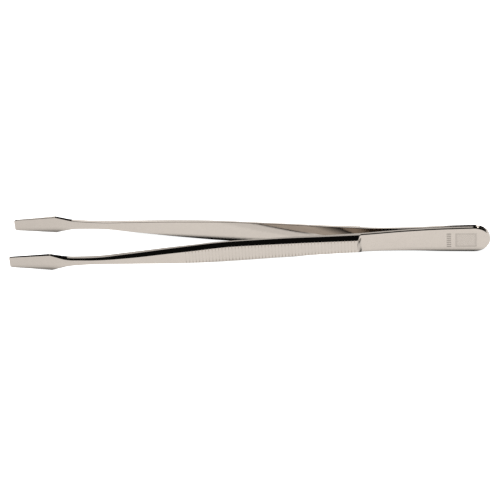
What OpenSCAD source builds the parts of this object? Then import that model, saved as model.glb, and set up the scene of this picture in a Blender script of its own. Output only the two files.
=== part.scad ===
// Spade-tip stamp tongs: two spring-steel arms, spot-welded face to face at the butt end.
// The butt end points to +X and the tips to -X. The front arm is on the -Y side, the rear arm on
// the +Y side, and the width of the strip stands along Z. The origin is at mid length, on the plane
// between the arms, at the level of the lowest edge. Distances along an arm start at the butt end.

/* [Length] */
// Overall length, from the butt end to the tips
length = 150; // [146:0.5:160]
// Length of the thin handle leaf, from the butt end to the shoulder
handle_len = 40; // [38:0.5:43]
// Length of the ribbed grip, from the shoulder to its last rib
grip_len = 56; // [52:0.5:58]
// Length of the spade, from its neck to the tip
spade_len = 19; // [17:0.5:22]
// Length of the weld seam, where the two leaves lie against each other
seam_len = 18; // [15:0.5:19]
// Distance from the butt end to the middle of each leaf's bend
flex_at = 28; // [26:0.5:31]

/* [Width] */
// Radius of the rounded butt end, which is the widest place
butt_r = 5.2; // [4.8:0.1:5.6]
// Half width of the waist at the shoulder
waist_half = 3.85; // [3.4:0.05:4]
// Half width of the grip at its widest
grip_half = 4.15; // [3.8:0.05:4.6]
// Half width of the shank at its narrowest
shank_half = 1.45; // [1.3:0.05:1.8]
// Half width of the spade at its corners
spade_half = 3.3; // [2.8:0.05:3.8]
// Half width of the spade at the tip
tip_half = 2.2; // [1.8:0.05:2.4]
// Radius of the spade's two front corners
tip_corner_r = 0.7; // [0.4:0.1:1]

/* [Thickness] */
// Thickness of the handle leaf
leaf_t = 0.9; // [0.7:0.05:1.1]
// Thickness of the arm just behind the shoulder
grip_t = 2.15; // [1.8:0.05:2.4]
// Thickness of the arm at the end of the ribs
heel_t = 2.1; // [1.8:0.1:2.4]
// Thickness of the shank at its narrowest
shank_t = 1.55; // [1.2:0.05:1.8]
// Thickness of the spade near its neck
spade_t = 0.9; // [0.7:0.05:1]
// Thickness of the spade at the tip
tip_t = 0.45; // [0.35:0.05:0.6]
// Width of the flat long edges, between the inner face and the bevel
edge_t = 0.6; // [0.4:0.05:0.8]

/* [Opening] */
// Gap between the inner faces of the two spades, tongs relaxed
tip_gap = 15.9; // [13:0.1:18]

/* [Ribs] */
// Distance from one rib to the next
rib_pitch = 1.03; // [0.9:0.01:1.3]
// Depth of the grooves between the ribs
rib_depth = 0.12; // [0.05:0.01:0.18]

/* [Welds] */
// Radius of a weld nugget
weld_r = 1.4; // [1:0.1:2]
// Distance from the butt end to the first weld
weld_at = 6; // [5:0.5:7]
// Distance from the first weld to the second
weld_pitch = 6.5; // [5:0.5:8]

/* [Hidden] */
$fn = 96;

butt_x = length / 2;                        // the butt end
mid_z = butt_r;                             // centre line of the strip's width
shoulder = handle_len;                      // foot of the step up to the grip
step_len = 0.5;                             // length of that step
crest = shoulder + step_len;                // head of the step
grip_end = shoulder + grip_len;             // last rib
neck = length - spade_len;                  // where the shank starts to widen
corner = neck + 0.31 * spade_len;           // the spade's widest place
shank_mid = (grip_end + neck) / 2 + 9;      // the shank's narrowest place
split_gap = 0.2;                            // clearance at the bend between a tail and its blade
leaf_bevel = 0.12;                          // broken edge round the leaf and the spade
nugget_half = 0.3;                          // how deep a weld reaches into each leaf
nugget_gap = 0.02;                          // clearance round a nugget in its pocket
tip_half_gap = tip_gap / 2;
leaf_curve = 0.002;                         // curvature of the leaf where it leaves the seam, 1/mm

// Value at s of the smooth curve through keys, a list of [distance, value] with rising distances.
// The tangents are harmonic means, so the curve never swings past a key.
function slope(keys, i) = (keys[i + 1][1] - keys[i][1]) / (keys[i + 1][0] - keys[i][0]);
function tangent(keys, i) =
    i == 0 ? slope(keys, 0)
    : i == len(keys) - 1 ? slope(keys, i - 1)
    : slope(keys, i - 1) * slope(keys, i) <= 0 ? 0
    : 2 * slope(keys, i - 1) * slope(keys, i) / (slope(keys, i - 1) + slope(keys, i));
function span(keys, s, i = 0) = i == len(keys) - 2 || s < keys[i + 1][0] ? i : span(keys, s, i + 1);
function hermite(a, b, u) =
    let (h = b[0] - a[0])
    a[1] * (1 + 2 * u) * pow(1 - u, 2) + h * a[2] * u * pow(1 - u, 2)
    + b[1] * (3 - 2 * u) * pow(u, 2) - h * b[2] * pow(u, 2) * (1 - u);
function curve(keys, s) =
    let (i = span(keys, s), a = keys[i], b = keys[i + 1])
    let (u = min(1, max(0, (s - a[0]) / (b[0] - a[0]))))
    hermite([a[0], a[1], tangent(keys, i)], [b[0], b[1], tangent(keys, i + 1)], u);

// Distance of the inner face from the plane between the arms: flat on the seam, then the leaf's
// arc, then a long S that ends parallel to the other arm at the spade.
function leaf_gap(s) = leaf_curve * pow(max(0, s - seam_len), 2);
GAP = [
    [shoulder + 1, leaf_gap(shoulder + 1)],
    [shoulder + 15, 0.26 * tip_half_gap],
    [shoulder + 32, 0.42 * tip_half_gap],
    [grip_end - 4, 0.61 * tip_half_gap],
    [grip_end + 12, 0.77 * tip_half_gap],
    [neck - 9, 0.9 * tip_half_gap],
    [neck + 1, 0.97 * tip_half_gap],
    [corner, tip_half_gap],
    [length, tip_half_gap]
];
function half_gap(s) = s < GAP[0][0] ? leaf_gap(s) : curve(GAP, s);

// Half width of the strip, measured along Z, with the tip's round corners taken off. The spade's
// sides flare out in a straight line and turn sharply at its corners.
WIDTH = [
    [butt_r, butt_r],
    [15, 0.95 * butt_r],
    [25, 0.85 * butt_r],
    [shoulder, waist_half],
    [shoulder + 11, waist_half + 0.05],
    [shoulder + 25, grip_half],
    [grip_end - 17, grip_half],
    [grip_end + 1, 0.8 * grip_half],
    [grip_end + 16, 1.5 * shank_half],
    [shank_mid, shank_half],
    [neck - 1.5, 1.15 * shank_half],
    [neck + 1, 1.35 * shank_half],
    [corner - 3, 0.74 * spade_half],
    [corner - 0.4, 0.96 * spade_half],
    [corner, spade_half],
    [corner + 0.6, 0.98 * spade_half],
    [length, tip_half]
];
function tip_round(s) =
    let (d = s - (length - tip_corner_r))
    d > 0 ? tip_corner_r - sqrt(max(0, pow(tip_corner_r, 2) - pow(d, 2))) : 0;
function half_width(s) = curve(WIDTH, s) - tip_round(s);

// Width of the flat long edge, total thickness and half width of the outer face.
EDGE = [
    [crest, edge_t + 0.4],
    [shoulder + 20, edge_t + 0.08],
    [grip_end - 16, edge_t - 0.07],
    [grip_end + 12, edge_t + 0.32],
    [neck - 4, edge_t + 0.4],
    [corner, spade_t - 1.5 * leaf_bevel],
    [length, tip_t - leaf_bevel]
];
THICK = [
    [crest, grip_t],
    [shoulder + 20, 0.86 * grip_t],
    [grip_end - 16, 0.85 * heel_t],
    [grip_end - 2, heel_t],
    [grip_end + 14, 0.95 * heel_t],
    [neck - 6, shank_t],
    [neck + 4, spade_t],
    [length, tip_t]
];
FACE = [
    [crest, waist_half - 1.3],
    [shoulder + 20, 0.68 * grip_half],
    [grip_end - 16, 0.75 * grip_half],
    [grip_end + 1, 0.58 * grip_half],
    [grip_end + 16, 0.94 * shank_half],
    [shank_mid, 0.66 * shank_half],
    [neck, 0.8 * shank_half],
    [corner - 0.4, 0.96 * spade_half - leaf_bevel],
    [corner, spade_half - leaf_bevel],
    [corner + 0.6, 0.98 * spade_half - leaf_bevel],
    [length, tip_half - leaf_bevel]
];
function on_leaf(s) = s <= shoulder;
function edge_width(s) = on_leaf(s) ? leaf_t - leaf_bevel : curve(EDGE, s);
function thickness(s) = on_leaf(s) ? leaf_t : curve(THICK, s);
function face_half(s) = on_leaf(s) ? half_width(s) - leaf_bevel : curve(FACE, s) - tip_round(s);

// One cross-section of the rear arm, a bevelled bar of six corners. In a groove the outer face sinks
// down the two bevels, so that it gets wider as it gets deeper.
function section(s, groove) =
    let (x = butt_x - s, y = half_gap(s), w = half_width(s), e = edge_width(s), t = thickness(s))
    let (f = face_half(s) + groove * (w - face_half(s)) / (t - e), top = y + t - groove)
    [
        [x, y, mid_z - w], [x, y, mid_z + w],
        [x, y + e, mid_z + w], [x, top, mid_z + f],
        [x, top, mid_z - f], [x, y + e, mid_z - w]
    ];

// Where the cross-sections stand, as [distance, groove depth].
rib_count = floor((grip_len - step_len) / rib_pitch);
first_rib = crest + 0.1;
last_rib = first_rib + rib_count * rib_pitch;
plain_step = 1.25;
tip_steps = 6;
stations = concat(
    [for (s = [flex_at + split_gap / 2 : 2 : shoulder - 1]) [s, 0]],
    [[shoulder, 0], [crest, 0]],
    [for (i = [0 : 2 * rib_count - 1]) [first_rib + i / 2 * rib_pitch, i % 2 * rib_depth]],
    [for (s = [last_rib : plain_step : corner - 1]) [s, 0]],
    [[corner - 0.4, 0], [corner, 0], [corner + 0.6, 0]],
    [for (s = [corner + 1.8 : plain_step : length - tip_corner_r - plain_step / 2]) [s, 0]],
    [for (i = [0 : tip_steps]) [length - tip_corner_r * (1 - sin(90 * i / tip_steps)), 0]]
);

CORNERS = 6;
module arm_blade() {
    points = [for (st = stations) each section(st[0], st[1])];
    last = (len(stations) - 1) * CORNERS;
    side_faces = [
        for (i = [0 : len(stations) - 2], c = [0 : CORNERS - 1])
            let (a = i * CORNERS + c, b = i * CORNERS + (c + 1) % CORNERS)
            each [[a, b, b + CORNERS], [a, b + CORNERS, a + CORNERS]]
    ];
    end_faces = [
        [for (c = [CORNERS - 1 : -1 : 0]) c],
        [for (c = [0 : CORNERS - 1]) last + c]
    ];
    polyhedron(points = points, faces = concat(side_faces, end_faces), convexity = 6);
}

// Outline of the tail seen from its flat side: a round butt, then the narrowing leaf.
tail_end = flex_at - split_gap / 2;
module tail_outline() {
    translate([butt_x - butt_r, mid_z]) circle(r = butt_r);
    steps = 12;
    xs = [for (i = [0 : steps]) butt_r + (tail_end - butt_r) * i / steps];
    polygon(concat(
        [for (s = xs) [butt_x - s, mid_z + half_width(s)]],
        [for (i = [steps : -1 : 0]) [butt_x - xs[i], mid_z - half_width(xs[i])]]
    ));
}

// The tail's thickness seen from above: flat on the seam, then spreading with the leaf's arc.
module tail_profile() {
    bend = [for (i = [0 : 4]) seam_len + (tail_end - seam_len) * i / 4];
    polygon(concat(
        [[butt_x, 0]],
        [for (s = bend) [butt_x - s, leaf_gap(s)]],
        [for (i = [4 : -1 : 0]) [butt_x - bend[i], leaf_gap(bend[i]) + leaf_t]],
        [[butt_x, leaf_t]]
    ));
}

module weld_discs(r, half) {
    for (i = [0, 1])
        translate([butt_x - weld_at - i * weld_pitch, 0, mid_z])
            rotate([90, 0, 0]) cylinder(r = r, h = 2 * half, center = true);
}

module arm_tail() {
    difference() {
        intersection() {
            linear_extrude(height = 2 * butt_r) tail_profile();
            translate([0, 2 * leaf_t, 0])
                rotate([90, 0, 0]) linear_extrude(height = 3 * leaf_t) tail_outline();
        }
        weld_discs(weld_r + nugget_gap, nugget_half);
    }
}

module front_arm_tail() {
    color("gainsboro") mirror([0, 1, 0]) arm_tail();
}

module rear_arm_tail() {
    color("gainsboro") arm_tail();
}

module butt_welds() {
    color("darkgray") weld_discs(weld_r, nugget_half);
}

module front_arm_blade() {
    color("silver") mirror([0, 1, 0]) arm_blade();
}

module rear_arm_blade() {
    color("silver") arm_blade();
}

front_arm_tail();
rear_arm_tail();
butt_welds();
front_arm_blade();
rear_arm_blade();
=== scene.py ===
"""Spade-tip stamp tongs: two nickel-plated spring-steel arms, welded face to face at the butt end.

Lengths are in metres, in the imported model's frame: the butt end points to +X and the tips to -X, the
front arm is on the -Y side, and the width of the strips stands along Z. Along an arm, s is the
distance from the butt end. Across it, d is the distance inwards from the outline of the strip.
"""

import math

import bmesh
import bpy
import numpy as np
from mathutils import Matrix, Vector


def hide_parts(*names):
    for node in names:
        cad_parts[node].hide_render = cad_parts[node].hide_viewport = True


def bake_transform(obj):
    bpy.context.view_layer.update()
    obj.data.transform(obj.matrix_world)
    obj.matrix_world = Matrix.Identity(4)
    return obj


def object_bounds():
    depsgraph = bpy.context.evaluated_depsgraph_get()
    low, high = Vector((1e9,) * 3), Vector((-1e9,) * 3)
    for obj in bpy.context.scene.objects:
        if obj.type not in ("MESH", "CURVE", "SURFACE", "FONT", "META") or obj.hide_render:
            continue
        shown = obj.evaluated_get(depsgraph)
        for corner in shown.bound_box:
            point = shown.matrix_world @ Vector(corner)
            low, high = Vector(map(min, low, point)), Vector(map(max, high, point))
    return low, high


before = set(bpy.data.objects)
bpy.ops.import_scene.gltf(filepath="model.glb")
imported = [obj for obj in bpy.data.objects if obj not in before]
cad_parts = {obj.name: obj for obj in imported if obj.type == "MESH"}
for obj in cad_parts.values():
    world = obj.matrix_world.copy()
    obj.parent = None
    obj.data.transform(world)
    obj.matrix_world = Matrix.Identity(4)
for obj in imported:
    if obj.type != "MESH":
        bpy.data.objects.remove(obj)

MM = 0.001
MICRON = 0.001 * MM
CAD_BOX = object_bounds()
BUTT_X = CAD_BOX[1].x
LENGTH = CAD_BOX[1].x - CAD_BOX[0].x
BUTT_R = (CAD_BOX[1].z - CAD_BOX[0].z) / 2  # radius of the round butt
MID_Z = (CAD_BOX[1].z + CAD_BOX[0].z) / 2

# Finish of the strips
LEAF_ROUND = 0.35 * MM  # radius of the leaf's outer edges
BAR_ROUND = 0.07 * MM  # radius of the bar's bevelled edges
INNER_ROUND = 0.13 * MM  # radius of the edges of the inner faces
EDGE_DRAFT = 0.07  # how far the long edges lean in towards the outer face, as a slope
GROOVE_HALF = 0.12 * MM  # half the width of a groove between two ribs
GROOVE_SHADE_HALF = 0.25 * MM  # half the width of the painted shade along a groove
GROOVE_SHADE_MID = 0.25  # how strong the painted shade is at the middle of the face, as a share of the most
GROOVE_SHADE_FROM = 2 / 3  # where it starts to grow, as a share of the way from the middle to a bevel
FACE_CUT = 0.45  # how deep the grooves are at the middle of the face, as a share of their depth
CUT_FROM = 1 / 3  # where they start to get deeper, as a share of the way to a bevel
CREST_SOFT = 0.1 * MM  # how far the corner between a bevel and the outer face is polished away
CREST_SHARE = 0.4  # the most of a bevel's width that its crest rows may take up
HOLLOW = 0.08 * MM  # depth of the hollow across the inner face of the bar
GRIP_FADE = 8 * MM  # over what length that hollow fades in and out
SEAM_GAP = 0.01 * MM  # half the gap between the welded leaves
STEP_LEN = 0.5 * MM  # length of the step up to the grip, at the edges
STEP_BITE = 0.9 * MM  # how much longer the step is at the middle of the face
STEP_SCOOP = 1.2  # how hollow the step is, where 1 is straight
NECK = 0.882 * LENGTH  # distance of the spade's neck from the butt end, near enough
NECK_RISE = 0.22 * MM  # how much thicker the neck is than in the CAD model
NECK_REACH = 6 * MM  # over what length that fades out
BEVEL_SLOPE = 0.7  # the least steep slope of a bevel
TIP_CORNER = 0.7 * MM  # radius of the spade's front corners
TIP_HUB = 2.0 * MM  # where the rows of the spade's end meet

# Fineness of the meshes
# Places of the columns across one rib and its groove, as shares of the pitch from the groove
GROOVE_STEPS = (-0.27, -0.16, -0.125, -0.09, -0.06, -0.03, 0, 0.03, 0.06, 0.09, 0.125, 0.16, 0.27, 0.5)
FINE_STEP = 0.06 * MM  # between the columns of the step up to the grip
LEAF_COLUMN = 0.5 * MM
BAR_COLUMN = 0.35 * MM
SPADE_COLUMN = 0.4 * MM
TIP_COLUMN = 0.2 * MM  # between the columns that start at the spade's front end
CORNER_STEPS = 10  # points on a front corner of the spade
BUTT_STEPS = 37  # points on a quarter of the round butt
ARC_STEPS = 7  # rows on a rounded outer edge
INNER_ARC_STEPS = 5  # rows on a rounded inner edge
OUTER_ROWS = 8  # rows from the outer face's last edge row to the centre line
INNER_ROWS = 6  # the same on the inner face
SLOPE_ROWS = (0.04, 0.3, 0.65, 1)  # places of the rows on a bevel, as shares of it
CREST_ROWS = (-0.5, 0, 0.5, 1, 1.4)  # places of the rows round its corner with the face
WALL_ROWS = (0.94, 0.66, 0.33, 0.06)  # heights of the rows on the long edge
INNER_MARGIN = 0.02 * MM  # from the rounded inner edge to the next row
MERGE = 0.0002 * MM  # how near points are joined


def add_object(name, data):
    """A new object in the scene."""
    item = bpy.data.objects.new(name, data)
    bpy.context.scene.collection.objects.link(item)
    return item


# The arm's sizes, read from the CAD solids

CLOSE = 0.01 * MM  # corners of a section this near to each other count as level
VERY_CLOSE = 0.005 * MM  # the same for the long edge and the outer face of the bar
GROOVE_SIGN = 0.05 * MM  # a section this much thinner than its neighbours is a groove
SPADE_FROM = 0.85 * LENGTH  # the spade's corner lies beyond this distance from the butt end


def smooth_curve(keys, values):
    """The smooth curve through the keys, as a function that is level beyond both ends. It never
    swings past a key, so that sharp corners stay sharp."""
    keys, values = np.array(keys), np.array(values)
    spans = np.diff(values) / np.diff(keys)
    before, after = np.r_[spans[:1], spans], np.r_[spans, spans[-1:]]
    same_way = before * after > 0
    total = np.where(same_way, before + after, 1)
    slopes = np.where(same_way, 2 * before * after / total, 0)

    def curve(s):
        i = np.clip(np.searchsorted(keys, s) - 1, 0, len(keys) - 2)
        h = keys[i + 1] - keys[i]
        u = np.clip((s - keys[i]) / h, 0, 1)
        start = values[i] * (1 + 2 * u) + h * slopes[i] * u
        end = values[i + 1] * (3 - 2 * u) - h * slopes[i + 1] * (1 - u)
        return start * (1 - u) ** 2 + end * u**2

    return curve


def cross_sections(node):
    """(s, corners) for each place where a CAD node has corners, butt end first. A corner is its
    distance from the plane between the arms and its distance from the strip's centre line."""
    points = np.array([v.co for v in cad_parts[node].data.vertices])
    xs = points[:, 0].round(6)
    corners = np.abs(points[:, 1:] - (0, MID_Z))
    return [(BUTT_X - x, corners[xs == x]) for x in np.unique(xs)[::-1]]


def read_tail():
    """(s, inner height, half width) of the leaf along the tail, and the leaf's thickness."""
    sections = cross_sections("rear_arm_tail")
    leaf_t = sections[0][1][:, 0].max()
    rows = []
    for s, corners in sections:
        top = corners[:, 0].max()
        if s > BUTT_R and top > leaf_t - CLOSE:
            rows.append((s, top - leaf_t, corners[corners[:, 0] > top - CLOSE, 1].max()))
    return rows, leaf_t


def read_blade():
    """(s, inner height, half width, edge width, thickness, half outer face) along the blade."""
    rows = []
    for s, corners in cross_sections("rear_arm_blade"):
        height, side = corners[:, 0], corners[:, 1]
        low, top, half = height.min(), height.max(), side.max()
        edge = height[side > half - VERY_CLOSE].max() - low
        face = side[height > top - VERY_CLOSE].max()
        rows.append((s, low, half, edge, top - low, face))
    return rows


tail_rows, LEAF_T = read_tail()
blade = np.array(read_blade())
SHOULDER = blade[np.argmax(np.diff(blade[:, 4])), 0]
CREST = SHOULDER + STEP_LEN
on_bar = blade[blade[:, 0] > SHOULDER + CLOSE]
depth_below = (on_bar[:-2, 4] + on_bar[2:, 4]) / 2 - on_bar[1:-1, 4]
is_groove = np.r_[False, depth_below > GROOVE_SIGN, False]
bar = on_bar[~is_groove]
groove_s = on_bar[is_groove, 0]
RIB_PITCH = np.diff(groove_s).mean()
RIB_DEPTH = np.median(depth_below[is_groove[1:-1]])

outline_rows = np.array(tail_rows + [tuple(r[:3]) for r in blade])
side_rows = outline_rows[outline_rows[:, 0] <= LENGTH - TIP_CORNER + CLOSE]
SPADE_CORNER = bar[np.argmax(bar[:, 2] * (bar[:, 0] > SPADE_FROM)), 0]
tip_slope = (side_rows[-1, 2] - side_rows[-2, 2]) / (side_rows[-1, 0] - side_rows[-2, 0])
tip_half = side_rows[-1, 2] + tip_slope * (LENGTH - side_rows[-1, 0])

inner_height = smooth_curve(outline_rows[:, 0], outline_rows[:, 1])
half_width = smooth_curve(np.r_[side_rows[:, 0], LENGTH], np.r_[side_rows[:, 2], tip_half])
cad_thickness = smooth_curve(bar[:, 0], bar[:, 4])
edge_width = smooth_curve(bar[:, 0], bar[:, 3])
cad_bevel_width = smooth_curve(bar[:, 0], bar[:, 2] - bar[:, 5])


# The shape of one face, as heights above the inner face


def ease(u):
    """Smooth step from 0 to 1."""
    u = np.clip(u, 0, 1)
    return u * u * (3 - 2 * u)


def thickness(s):
    """Thickness of the bar, which is raised at the neck of the spade."""
    return cad_thickness(s) + NECK_RISE * ease(1 - np.abs(s - NECK) / NECK_REACH)


def bevel_width(s):
    """Width of a bevel, seen square to the outer face."""
    return np.minimum(cad_bevel_width(s), (thickness(s) - edge_width(s)) / BEVEL_SLOPE)


def rounded_edge(d, radius):
    """How far a quarter-round edge drops at the distance d from the outline."""
    return radius - np.sqrt(np.maximum(radius**2 - np.maximum(radius - d, 0) ** 2, 0))


def soft_min(a, b, width):
    """The lower of a and b, with the corner between them rounded."""
    blend = np.maximum(width - np.abs(a - b), 0) / width
    return np.minimum(a, b) - blend**2 * width / 4


def near_groove(s, half):
    """How near the middle of a rib groove a place is: 1 at the middle, 0 from half on."""
    phase = (s - groove_s[0]) / RIB_PITCH
    in_ribs = (phase > -0.5) & (phase < len(groove_s) - 0.5)
    off = np.abs(phase - np.round(phase)) * RIB_PITCH
    return np.where(in_ribs, ease(1 - off / half), 0)


def near_crest(s, z):
    """How near the bevels a place is: 0 on the centre line, 1 where the outer face ends."""
    return np.abs(z) / (half_width(s) - bevel_width(s))


def groove(s, z):
    """Depth of the rib grooves: narrow valleys that are cut deeper towards the bevels."""
    to_crest = (near_crest(s, z) - CUT_FROM) / (1 - CUT_FROM)
    depth = FACE_CUT + (1 - FACE_CUT) * ease(to_crest)
    return RIB_DEPTH * depth * near_groove(s, GROOVE_HALF)


def painted_groove_shade(s, z):
    """How much painted shade darkens a place, from 0 to 1. It is painted along the rib grooves, most of
    all just inside the bevels, where the grooves stand in shade."""
    reach = near_crest(s, z)
    to_crest = (reach - GROOVE_SHADE_FROM) / (1 - GROOVE_SHADE_FROM)
    amount = GROOVE_SHADE_MID + (1 - GROOVE_SHADE_MID) * ease(to_crest)
    return np.where(reach < 1, amount * near_groove(s, GROOVE_SHADE_HALF), 0)


def outer_height(s, d, z):
    """Height of the outer face: the thin leaf, then the step, then the bevelled bar with its ribs."""
    leaf = LEAF_T - rounded_edge(d, LEAF_ROUND)
    bevel = edge_width(s) + (thickness(s) - edge_width(s)) * d / bevel_width(s)
    bar_top = soft_min(bevel, thickness(s) - groove(s, z), CREST_SOFT) - rounded_edge(d, BAR_ROUND)
    step_len = STEP_LEN + STEP_BITE * (1 - (z / half_width(s)) ** 2)
    return leaf + (bar_top - leaf) * np.clip((s - SHOULDER) / step_len, 0, 1) ** STEP_SCOOP


def inner_rise(s, d, z):
    """Height of the inner face: rounded edges, and a shallow hollow along the bar."""
    hollow = HOLLOW * (1 - (z / half_width(s)) ** 2)
    in_grip = ease((s - SHOULDER) / GRIP_FADE) * ease((SPADE_CORNER - s) / GRIP_FADE - 1)
    return rounded_edge(d, INNER_ROUND) + hollow * in_grip


# The grid of one arm: columns along the outline of its upper half, rows from the outer face's
# centre line over the edge to the inner face's centre line


def steps_between(start, stop, step):
    """Even steps of about that size from start up to stop, without stop."""
    count = max(1, round(abs(stop - start) / step))
    return start + (stop - start) * np.arange(count) / count


def column_places():
    """The distances s of the columns between the round butt and the spade's end, tip side first."""
    ribs_start, ribs_end = groove_s[0] + RIB_PITCH / 2, groove_s[-1] + RIB_PITCH / 2
    across_groove = np.array(GROOVE_STEPS) * RIB_PITCH
    ribs = (groove_s[1:, None] + across_groove).ravel()[::-1]
    return np.concatenate([
        steps_between(LENGTH - TIP_CORNER, SPADE_CORNER, SPADE_COLUMN),
        steps_between(SPADE_CORNER, ribs_end, BAR_COLUMN),
        ribs,
        steps_between(ribs_start, SHOULDER - 2 * FINE_STEP, FINE_STEP),
        steps_between(SHOULDER - 2 * FINE_STEP, BUTT_R, LEAF_COLUMN),
    ])


def upper_outline():
    """(outline points, hub points) as (x, z) from the tip's middle round to the butt's middle. A
    column runs from its outline point to its hub on the centre line."""
    tip_x, butt_hub = BUTT_X - LENGTH, BUTT_X - BUTT_R
    flat = [(tip_x, z) for z in steps_between(0, tip_half - TIP_CORNER, TIP_COLUMN)]
    corner = []
    for a in np.linspace(np.pi / 2, 0, CORNER_STEPS)[:-1]:
        x = tip_x + TIP_CORNER * (1 - np.sin(a))
        corner.append((x, half_width(BUTT_X - x) - TIP_CORNER * (1 - np.cos(a))))
    sides = [(BUTT_X - s, half_width(s)) for s in column_places()]
    turn = np.linspace(0, np.pi / 2, BUTT_STEPS)
    butt = [(butt_hub + BUTT_R * np.sin(a), BUTT_R * np.cos(a)) for a in turn]
    points = np.array(flat + corner + sides + butt)
    hubs = np.clip(points[:, 0], tip_x + TIP_HUB, butt_hub)
    return points, np.column_stack([hubs, np.zeros(len(hubs))])


def inward_normals(points):
    """Unit normals of the upper outline that point into the strip. They are square at both ends."""
    along = np.gradient(points, axis=0)
    along[0], along[-1] = (0, 1), (0, -1)
    along /= np.linalg.norm(along, axis=1)[:, None]
    return np.column_stack([along[:, 1], -along[:, 0]])


def edge_rows(s):
    """Inset distances of the outer face's rows near the edge, one row of the array for each row."""
    on_bar = ease((s - SHOULDER) / STEP_LEN)
    radius = LEAF_ROUND + (BAR_ROUND - LEAF_ROUND) * on_bar
    bevel = bevel_width(np.maximum(s, CREST))
    soft = np.minimum(CREST_SOFT, CREST_SHARE * (bevel - radius))
    arc = [radius * (1 - math.cos(a)) for a in np.linspace(0, math.pi / 2, ARC_STEPS)]
    slope = [radius + (bevel - soft - radius) * u for u in SLOPE_ROWS]
    crest = [bevel + soft * u for u in CREST_ROWS]
    return np.array(arc + slope + crest)


def inner_rows():
    """Inset distances of the inner face's rows near the edge."""
    turns = np.linspace(0, math.pi / 2, INNER_ARC_STEPS)
    arc = [INNER_ROUND * (1 - math.cos(a)) for a in turns]
    return np.array(arc + [INNER_ROUND + INNER_MARGIN])


def inset(points, normals, hubs, distances, face_steps):
    """Grid of (x, z) places: rows at the given inset distances, then even rows on to the hubs."""
    near = points + normals * distances[..., None]
    shares = np.linspace(0, 1, face_steps + 1)[1:, None, None]
    return np.concatenate([near, near[-1] + (hubs - near[-1]) * shares])


def arm_grid():
    """The upper half of the rear arm as an array of points, rows by columns, and the painted groove shade
    there.
    """
    points, hubs = upper_outline()
    normals = inward_normals(points)
    s_outline = BUTT_X - points[:, 0]
    outer_d = edge_rows(s_outline)
    edge_height = outer_height(s_outline, 0, points[:, 1]) - INNER_ROUND
    outer = inset(points, normals, hubs, outer_d + EDGE_DRAFT * edge_height, OUTER_ROWS)
    inner_d = np.repeat(inner_rows()[:, None], len(points), axis=1)
    inner = inset(points, normals, hubs, inner_d, INNER_ROWS)

    def with_height(places, distances, height):
        s, z = BUTT_X - places[..., 0], places[..., 1]
        d = np.full(s.shape, BUTT_R)  # past its edge rows, a face is far from the outline
        d[: len(distances)] = distances
        base = np.maximum(inner_height(s), SEAM_GAP)
        return np.stack([places[..., 0], base + height(s, d, z), z], axis=-1)

    outer_points = with_height(outer, outer_d, outer_height)
    inner_points = with_height(inner, inner_d, inner_rise)
    top, low = outer_points[0], inner_points[0]
    wall = np.array([low + (top - low) * u for u in WALL_ROWS])
    points = np.concatenate([outer_points[::-1], wall, inner_points])
    # painted shade along the rib grooves, which darkens the colour where the grooves stand in shade
    groove_shade = np.zeros(points.shape[:2])
    groove_shade[: len(outer)] = painted_groove_shade(BUTT_X - outer[..., 0], outer[..., 1])[::-1]
    return points, groove_shade


def grid_faces(rows, columns, offset, flip):
    """Quads of a grid whose points are numbered row by row from offset."""
    faces = []
    for r in range(rows - 1):
        for c in range(columns - 1):
            a = offset + r * columns + c
            quad = (a, a + 1, a + columns + 1, a + columns)
            faces.append(quad[::-1] if flip else quad)
    return faces


def make_arm(name, side, material):
    """One arm, butt to tip, as a single mesh. side is 1 for the rear arm and -1 for the front arm."""
    grid, groove_shade = arm_grid()
    rows, columns = groove_shade.shape
    upper = grid.reshape(-1, 3) * (1, side, 1)
    points = np.concatenate([upper, upper * (1, 1, -1)]) + (0, 0, MID_Z)
    faces = grid_faces(rows, columns, 0, side < 0) + grid_faces(rows, columns, len(upper), side > 0)
    mesh = bpy.data.meshes.new(name)
    mesh.from_pydata(points.tolist(), [], faces)
    # the painted groove shade goes to the material as a point attribute
    mesh.attributes.new("painted_groove_shade", "FLOAT", "POINT").data.foreach_set("value", np.tile(groove_shade.ravel(), 2))
    arm = add_object(name, mesh)
    weld_seams(mesh)
    mesh.shade_smooth()
    mesh.materials.append(material)
    return arm


def weld_seams(mesh):
    """Joins the halves of an arm along its centre lines, and the rows that meet at a hub."""
    bm = bmesh.new()
    bm.from_mesh(mesh)
    bmesh.ops.remove_doubles(bm, verts=bm.verts, dist=MERGE)
    bmesh.ops.recalc_face_normals(bm, faces=bm.faces)
    bm.to_mesh(mesh)
    bm.free()


# Materials

NICKEL = (0.575, 0.519, 0.465)
POLISH = (0.045, 0.085)  # roughness between and on the polishing lines
LINE_SCALE = (60, 5200, 5200)  # polishing lines, per metre along each axis
HAZE_SCALE = (420, 420, 420)  # handling marks, the same way
RIPPLE_SCALE = (900, 900, 900)  # ripple of the plating, the same way
RIPPLE_DEPTH = 0.3 * MICRON
MID_NOISE = (0.3, 0.7)  # the range that most of a noise lies in
HAZE_NOISE = (0.45, 0.75)  # the same for the upper part of the noise, which is the handling marks
TONE_NOISE = (0.12, 0.4)  # the same for the product of two noises
MOTTLE = 0.035  # how much darker the dull spots are
HAZE = 0.05  # extra roughness of the handling marks
WELD_TINTS = ((0.25, 0.22, 0.2), (0.5, 0.49, 0.48))  # darkest and lightest heat tint
WELD_TINT_SCALE = (900, 900, 900)
WELD_ROUGH = (0.35, 0.65)  # roughness between and on the grains
WELD_GRAIN_SCALE = (6000, 6000, 6000)
WELD_GRAIN_DEPTH = 20 * MICRON
MARK_AT = 7.6 * MM  # distance of the etched mark's centre from the butt end
MARK_SIZE = (6.9 * MM, 6.2 * MM)
MARK_TOOTH = 0.69 * MM  # pitch of the perforation round the mark
MARK_BITE = 0.3 * MARK_TOOTH  # depth of the perforation
MARK_BORDER = 0.75 * MM  # width of the mark's border
MARK_HATCH = 0.8 * MM  # how far along X or Z the hatching repeats
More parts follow.
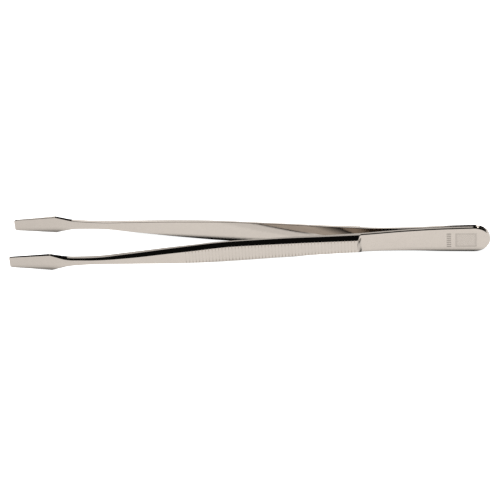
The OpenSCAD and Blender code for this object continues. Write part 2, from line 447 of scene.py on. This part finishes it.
HATCH_RANGE = (0.1, 0.9)  # how deep the hatching is, from its ridges to its valleys
STROKES_AT = 12.9 * MM  # distance of the row of strokes from the butt end
STROKE_HALF = 0.7 * MM  # half the length of a stroke
STROKE_PITCH = 0.9 * MM
EMBLEM_SHARE = 0.62  # how deep the mark is etched
STROKE_SHARE = 1.5  # how deep the strokes are etched
MARK_ROUGH = 0.35  # extra roughness of the mark
MARK_DARK = 8.0  # how much darker the mark is, in steps of the finish's own mottling
GROOVE_SHADE_DARK = 4.5  # the same for the painted shade in the grooves


def new_material(name):
    """A material with a lone Principled shader, and its node tree."""
    material = bpy.data.materials.new(name)
    material.use_nodes = True
    return material, material.node_tree, material.node_tree.nodes["Principled BSDF"]


def math_node(tree, operation, a, b=0.0):
    """Result socket of a math node. a and b are sockets or numbers."""
    node = tree.nodes.new("ShaderNodeMath")
    node.operation = operation
    for socket, value in zip(node.inputs, (a, b)):
        if isinstance(value, (int, float)):
            socket.default_value = value
        else:
            tree.links.new(value, socket)
    return node.outputs[0]


def map_range(tree, value, source, target):
    """Result socket of a map range node that takes the source range to the target range."""
    node = tree.nodes.new("ShaderNodeMapRange")
    names = ("From Min", "From Max", "To Min", "To Max")
    for name, number in zip(names, (*source, *target)):
        node.inputs[name].default_value = number
    tree.links.new(value, node.inputs["Value"])
    return node.outputs["Result"]


def noise(tree, scale, detail):
    """Socket with noise from 0 to 1. scale is how often it changes per metre along each axis, and
    detail is how many finer layers it has."""
    place = tree.nodes.new("ShaderNodeTexCoord").outputs["Object"]
    mapping = tree.nodes.new("ShaderNodeMapping")
    mapping.inputs["Scale"].default_value = scale
    texture = tree.nodes.new("ShaderNodeTexNoise")
    texture.inputs["Scale"].default_value = 1
    texture.inputs["Detail"].default_value = detail
    tree.links.new(place, mapping.inputs["Vector"])
    tree.links.new(mapping.outputs[0], texture.inputs["Vector"])
    return texture.outputs[0]


def blend_colours(tree, share, low, high):
    """Colour socket that goes from low to high as share goes from 0 to 1."""
    ramp = tree.nodes.new("ShaderNodeValToRGB")
    ramp.color_ramp.elements[0].color = (*low, 1)
    ramp.color_ramp.elements[1].color = (*high, 1)
    tree.links.new(share, ramp.inputs[0])
    return ramp.outputs["Color"]


def add_bump(tree, shader, height, distance):
    """Gives a shader bumps of the size distance where the height socket goes from 0 to 1."""
    bump = tree.nodes.new("ShaderNodeBump")
    bump.inputs["Strength"].default_value = 1
    bump.inputs["Distance"].default_value = distance
    tree.links.new(height, bump.inputs["Height"])
    tree.links.new(bump.outputs[0], shader.inputs["Normal"])


def from_centre(tree, axis_socket, centre):
    """Socket with the distance from centre along one axis."""
    return math_node(tree, "ABSOLUTE", math_node(tree, "SUBTRACT", axis_socket, centre))


def teeth(tree, axis_socket, centre, pitch):
    """Socket with a wave from 0 to 1 along one axis."""
    offset = math_node(tree, "SUBTRACT", axis_socket, centre)
    turn = math_node(tree, "MULTIPLY", offset, 2 * math.pi / pitch)
    return map_range(tree, math_node(tree, "COSINE", turn), (-1, 1), (0, 1))


def inside_box(tree, u, v, half_u, half_v):
    """Socket that is 1 where u and v are less than their halves."""
    in_u = math_node(tree, "LESS_THAN", u, half_u)
    return math_node(tree, "MULTIPLY", in_u, math_node(tree, "LESS_THAN", v, half_v))


def etched_mark(tree):
    """Socket with the depth of a plain etched mark on the front handle leaf: the outline of a
    perforated stamp with a hatched middle, and a row of short strokes beside it."""
    split = tree.nodes.new("ShaderNodeSeparateXYZ")
    tree.links.new(tree.nodes.new("ShaderNodeTexCoord").outputs["Object"], split.inputs[0])
    x, y, z = split.outputs
    u, v = from_centre(tree, x, BUTT_X - MARK_AT), from_centre(tree, z, MID_Z)
    bite_u = math_node(tree, "MULTIPLY", teeth(tree, z, MID_Z, MARK_TOOTH), MARK_BITE)
    bite_v = math_node(tree, "MULTIPLY", teeth(tree, x, BUTT_X - MARK_AT, MARK_TOOTH), MARK_BITE)
    half_u, half_v = MARK_SIZE[0] / 2, MARK_SIZE[1] / 2
    edge_u, edge_v = math_node(tree, "ADD", u, bite_u), math_node(tree, "ADD", v, bite_v)
    stamp = inside_box(tree, edge_u, edge_v, half_u, half_v)
    middle = inside_box(tree, u, v, half_u - MARK_BORDER, half_v - MARK_BORDER)
    hatch = teeth(tree, math_node(tree, "ADD", x, z), 0.0, MARK_HATCH)
    border = math_node(tree, "SUBTRACT", stamp, middle)
    picture = math_node(tree, "MULTIPLY", middle, map_range(tree, hatch, (0, 1), HATCH_RANGE))
    stroke_u = from_centre(tree, x, BUTT_X - STROKES_AT)
    stroke = inside_box(tree, stroke_u, v, STROKE_HALF, half_v)
    strokes = math_node(tree, "MULTIPLY", stroke, teeth(tree, z, MID_Z, STROKE_PITCH))
    emblem = math_node(tree, "MULTIPLY", math_node(tree, "ADD", border, picture), EMBLEM_SHARE)
    total = math_node(tree, "ADD", emblem, math_node(tree, "MULTIPLY", strokes, STROKE_SHARE))
    return math_node(tree, "MULTIPLY", total, math_node(tree, "LESS_THAN", y, -0.5 * LEAF_T))


def nickel(name, marked):
    """Polished nickel plating: faint lengthwise polishing lines, soft handling marks, and painted shade
    along the rib grooves.
    """
    material, tree, shader = new_material(name)
    lines = noise(tree, LINE_SCALE, 2)
    haze = noise(tree, HAZE_SCALE, 4)
    ripple = noise(tree, RIPPLE_SCALE, 2)
    rough = map_range(tree, lines, MID_NOISE, POLISH)
    rough = math_node(tree, "ADD", rough, map_range(tree, haze, HAZE_NOISE, (0, HAZE)))
    tone = math_node(tree, "MULTIPLY", haze, ripple)
    tone = map_range(tree, tone, TONE_NOISE, (0, 1))
    # painted shade of the rib grooves darkens the colour there
    groove_shade = tree.nodes.new("ShaderNodeAttribute")
    groove_shade.attribute_name = "painted_groove_shade"
    groove_darkening = math_node(tree, "MULTIPLY", groove_shade.outputs["Fac"], GROOVE_SHADE_DARK)
    tone = math_node(tree, "SUBTRACT", tone, groove_darkening)
    if marked:
        mark = etched_mark(tree)
        rough = math_node(tree, "ADD", rough, math_node(tree, "MULTIPLY", mark, MARK_ROUGH))
        tone = math_node(tree, "SUBTRACT", tone, math_node(tree, "MULTIPLY", mark, MARK_DARK))
    tone = map_range(tree, tone, (-MARK_DARK, 1), (0, 1))
    dark = [c * (1 - MOTTLE * (1 + MARK_DARK)) for c in NICKEL]
    tree.links.new(blend_colours(tree, tone, dark, NICKEL), shader.inputs["Base Color"])
    tree.links.new(rough, shader.inputs["Roughness"])
    shader.inputs["Metallic"].default_value = 1
    add_bump(tree, shader, math_node(tree, "ADD", lines, ripple), RIPPLE_DEPTH)
    return material


def weld_metal():
    """The dull fused steel of the spot welds, grainy and heat-tinted."""
    material, tree, shader = new_material("weld_steel")
    grain = noise(tree, WELD_GRAIN_SCALE, 3)
    tint = noise(tree, WELD_TINT_SCALE, 3)
    colour = blend_colours(tree, tint, *WELD_TINTS)
    tree.links.new(colour, shader.inputs["Base Color"])
    tree.links.new(map_range(tree, grain, MID_NOISE, WELD_ROUGH), shader.inputs["Roughness"])
    shader.inputs["Metallic"].default_value = 1
    add_bump(tree, shader, grain, WELD_GRAIN_DEPTH)
    return material


# The two arms


def build_tongs():
    for side_name, side in (("front", -1), ("rear", 1)):
        finish = nickel(f"{side_name}_polished_nickel", marked=side_name == "front")
        arm = make_arm(f"{side_name}_spring_arm", side, finish)
        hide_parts(f"{side_name}_arm_tail", f"{side_name}_arm_blade")
        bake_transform(arm)
    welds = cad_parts["butt_welds"]
    welds.data.materials.clear()
    welds.data.materials.append(weld_metal())


# Studio

FLOOR_GLOW = 1.15  # brightness of the evenly lit floor
GLOW_AT_TIPS = 0.88  # share of that brightness at the tips, as a painted falloff of the light
GLOW_FALLS = (BUTT_X - LENGTH, BUTT_X - 0.63 * LENGTH)  # where along X it falls off to that share
SOFT_SHARE = 0.94  # share of the brightness that the floor keeps in its faint painted shade

# Painted shades of the floor, from ambient occlusion: how far each spreads, and the openness at which it
# is darkest and gone
CONTACT_SHADE = (2.4 * MM, 0.8, 0.97)  # the deep shade under the arms
SOFT_SHADE = (14 * MM, 0.4, 1)  # the faint shade round the tongs
HAIRLINE = (0.5 * MM, 0.5, 0.95)  # the dark line right under an edge
REST_LINE = (1.6 * MM, 0.7, 1)  # the dark line where the handle and the spades rest on the floor
SHADE_SAMPLES = 16
GRIP_MIDDLE = BUTT_X - 0.583 * LENGTH  # where along X the middle of the grips is
GRIP_LIT = (43 * MM, 49 * MM)  # how far from there the rest line fades in
SPADE_LINE = 0.5  # how much of the rest line is missing under the spades
FRONT_SHADE = 0.12  # share of the painted deep shade that is left on the painted lit side, in front of the arms
LIT_SIDE = (0, 2 * MM)  # where along Y the painted light in front of the arms fades out
TIPS_LIT = (-48 * MM, -36 * MM)  # where along X the painted light between the open tips fades out
CAMERA_BLEACH = 1.0  # glow added where the camera sees the floor directly, which washes the painted shade out there
DARK = 0.006  # brightness of the dark room
FLOOR_HALF = 1.5  # half the floor's size
GLOSSY_BOUNCES = 12  # enough for the light that goes to and fro between the arms


def make_world():
    """A white sweep to the camera, and a dark room in reflections."""
    world = bpy.data.worlds.new("studio")
    bpy.context.scene.world = world
    world.use_nodes = True
    tree = world.node_tree
    background = tree.nodes["Background"]
    background.inputs["Color"].default_value = (1, 1, 1, 1)
    path = tree.nodes.new("ShaderNodeLightPath")
    strength = map_range(tree, path.outputs["Is Camera Ray"], (0, 1), (DARK, FLOOR_GLOW))
    tree.links.new(strength, background.inputs["Strength"])


def glow_material(name):
    """A material that only glows, its node tree, and the socket of its brightness."""
    material = bpy.data.materials.new(name)
    material.use_nodes = True
    tree = material.node_tree
    tree.nodes.clear()
    glow = tree.nodes.new("ShaderNodeEmission")
    output = tree.nodes.new("ShaderNodeOutputMaterial")
    tree.links.new(glow.outputs[0], output.inputs["Surface"])
    return material, tree, glow.inputs["Strength"]


def shade(tree, reach, darkest, lightest):
    """Socket of painted shade, from ambient occlusion: 0 where the floor is shaded and 1 where it is
    open. Pieces up to reach away shade it. darkest and lightest are the open shares of its surroundings
    that give 0 and 1."""
    contact = tree.nodes.new("ShaderNodeAmbientOcclusion")
    contact.inputs["Distance"].default_value = reach
    contact.samples = SHADE_SAMPLES
    return map_range(tree, contact.outputs["AO"], (darkest, lightest), (0, 1))


def floor_material():
    """A glowing white surface with painted shade: ambient occlusion of what lies on it darkens the glow,
    and extra glow for camera rays washes that shade out to white, so that it shows only in the polished
    faces and edges above it."""
    material, tree, brightness = glow_material("pale_floor")
    place = tree.nodes.new("ShaderNodeTexCoord").outputs["Object"]
    split = tree.nodes.new("ShaderNodeSeparateXYZ")
    tree.links.new(place, split.inputs[0])
    # painted light: masks that lift the painted shade in front of the arms and between the open tips
    lit_side = map_range(tree, split.outputs["Y"], LIT_SIDE, (1 - FRONT_SHADE, 0))
    lit_tips = map_range(tree, split.outputs["X"], TIPS_LIT, (1 - FRONT_SHADE, 0))
    lit = math_node(tree, "MAXIMUM", lit_side, lit_tips)
    deep = math_node(tree, "MAXIMUM", shade(tree, *CONTACT_SHADE), lit)
    # painted light over the grips and the spades, which takes the painted rest line out there
    from_grip = from_centre(tree, split.outputs["X"], GRIP_MIDDLE)
    lit_grip = map_range(tree, from_grip, GRIP_LIT, (1, 0))
    lit_spades = map_range(tree, split.outputs["X"], TIPS_LIT, (SPADE_LINE, 0))
    unshaded = math_node(tree, "MAXIMUM", lit_grip, lit_spades)
    rest_line = math_node(tree, "MAXIMUM", shade(tree, *REST_LINE), unshaded)
    deep = math_node(tree, "MULTIPLY", deep, rest_line)
    deep = math_node(tree, "MULTIPLY", deep, shade(tree, *HAIRLINE))
    # painted faint shade round the tongs, and a painted falloff of the light towards the tips
    glow_range = (SOFT_SHARE * FLOOR_GLOW, FLOOR_GLOW)
    soft = map_range(tree, shade(tree, *SOFT_SHADE), (0, 1), glow_range)
    falloff = map_range(tree, split.outputs["X"], GLOW_FALLS, (GLOW_AT_TIPS, 1))
    soft = math_node(tree, "MULTIPLY", soft, falloff)
    # extra glow for camera rays hides the painted shade where the floor is seen directly
    seen = tree.nodes.new("ShaderNodeLightPath").outputs["Is Camera Ray"]
    bleach = math_node(tree, "MULTIPLY", seen, CAMERA_BLEACH)
    strength = math_node(tree, "ADD", math_node(tree, "MULTIPLY", deep, soft), bleach)
    tree.links.new(strength, brightness)
    return material


def make_floor():
    """The plain pale floor. It touches the handle's lowest edge and the spades' lowest edges."""
    butt_x = BUTT_X - BUTT_R
    slope = (MID_Z - half_width(SPADE_CORNER)) / (SPADE_CORNER - BUTT_R)
    mesh = bpy.data.meshes.new("floor")
    corners = [(FLOOR_HALF * x, FLOOR_HALF * y) for x, y in ((-1, -1), (1, -1), (1, 1), (-1, 1))]
    mesh.from_pydata([(x, y, slope * (butt_x - x)) for x, y in corners], [], [(0, 1, 2, 3)])
    floor = add_object("floor", mesh)
    mesh.materials.append(floor_material())


def make_softbox(name, azimuth, elevation, width, height, radiance):
    """A glowing panel 1 m from the tongs that faces them. Azimuth 0 is +Y, and 90 is +X."""
    az, el = math.radians(azimuth), math.radians(elevation)
    outward = Vector((math.sin(az) * math.cos(el), math.cos(az) * math.cos(el), math.sin(el)))
    mesh = bpy.data.meshes.new(name)
    w, h = width / 2, height / 2
    mesh.from_pydata([(-w, -h, 0), (w, -h, 0), (w, h, 0), (-w, h, 0)], [], [(0, 1, 2, 3)])
    panel = add_object(name, mesh)
    panel.rotation_euler = outward.to_track_quat("Z", "Y").to_euler()
    panel.location = outward
    material, _, brightness = glow_material(name)
    brightness.default_value = radiance
    mesh.materials.append(material)
    panel.visible_camera = False
    panel.visible_diffuse = False
    panel.visible_shadow = False


def light_studio():
    make_world()
    make_floor()
    make_softbox("upper_back_panel", azimuth=-11, elevation=54, width=0.35, height=0.28, radiance=0.75)
    make_softbox("lower_back_panel", azimuth=-11, elevation=38, width=0.35, height=0.28, radiance=1.25)
    make_softbox("side_panel", azimuth=29, elevation=36, width=0.26, height=0.36, radiance=3)


# Camera. Its angles come from a fit to the outlines in the photograph.

CAMERA_ELEVATION = math.radians(45.2)
CAMERA_TURN = math.radians(5.53)
CAMERA_ROLL = math.radians(4.59)
CAMERA_DISTANCE = 0.9
CAMERA_NEAR = 0.01  # nothing nearer to the camera is shown
SENSOR_WIDTH = 36  # in millimetres, as Blender takes it
FIELD_WIDTH = 156.4 * MM  # what the picture spans at the tongs
AIM = (0.03 * MM, -2.95 * MM)  # how far right of and above the tongs' centre the picture's is


def make_camera():
    turn, down, roll = CAMERA_TURN, CAMERA_ELEVATION, CAMERA_ROLL
    level_right = Vector((math.cos(turn), math.sin(turn), 0))
    forward = Vector((-math.sin(turn) * math.cos(down), math.cos(turn) * math.cos(down), -math.sin(down)))
    level_up = level_right.cross(forward)
    right = math.cos(roll) * level_right - math.sin(roll) * level_up
    up = math.sin(roll) * level_right + math.cos(roll) * level_up
    centre = Vector((0, 0, MID_Z)) + AIM[0] * right + AIM[1] * up
    data = bpy.data.cameras.new("camera")
    data.sensor_width = SENSOR_WIDTH
    data.lens = data.sensor_width * CAMERA_DISTANCE / FIELD_WIDTH
    data.clip_start = CAMERA_NEAR
    camera = add_object("camera", data)
    camera.matrix_world = Matrix.Translation(centre - CAMERA_DISTANCE * forward) @ Matrix(
        (right, up, -forward)
    ).transposed().to_4x4()
    bpy.context.scene.camera = camera


make_camera()
build_tongs()
light_studio()
bpy.context.scene.view_settings.view_transform = "Standard"
bpy.context.scene.cycles.glossy_bounces = GLOSSY_BOUNCES
